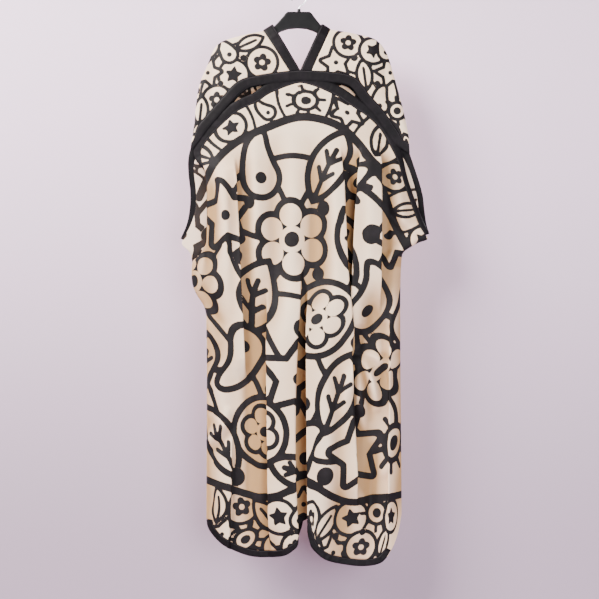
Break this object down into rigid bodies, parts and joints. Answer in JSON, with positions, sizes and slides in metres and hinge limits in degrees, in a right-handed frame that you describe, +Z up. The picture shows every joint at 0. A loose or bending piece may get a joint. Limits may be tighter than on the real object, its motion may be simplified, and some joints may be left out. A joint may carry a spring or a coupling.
{
  "type": "kaftan on a hanger",
  "caption": "Long, loose satin kaftan with bound arched yokes, a V neck, side armholes and a lobed hem, hanging on a moulded hanger with a wire hook.",
  "frame": {"origin": "underside of the hook's crest, where it lies on the rail or peg it hangs from", "axes": "+Z up along the length of the garment, -Y out of its front, +X to the right as it is seen from the front"},
  "size_m": [0.6281, 0.0766, 1.5035],
  "materials": {
    "satin": "cream satin, printed in dark ink",
    "binding": "dark satin binding",
    "plastic": "black, satin gloss",
    "steel": "bright wire"
  },
  "bodies": {
    "root": {"front_panel": "satin", "front_hem_border": "satin", "front_top_band": "binding", "front_hem_band": "binding", "back_panel": "satin", "back_hem_border": "satin", "back_top_band": "binding", "back_hem_band": "binding", "yoke_left": "satin", "yoke_right": "satin", "neck_band_left": "binding", "neck_band_right": "binding", "yoke_band_front_left": "binding", "yoke_band_front_right": "binding", "yoke_band_back_left": "binding", "yoke_band_back_right": "binding", "hanger_body": "plastic", "hanger_collar": "plastic", "hanger_hook": "steel"}
  },
  "joints": []
}
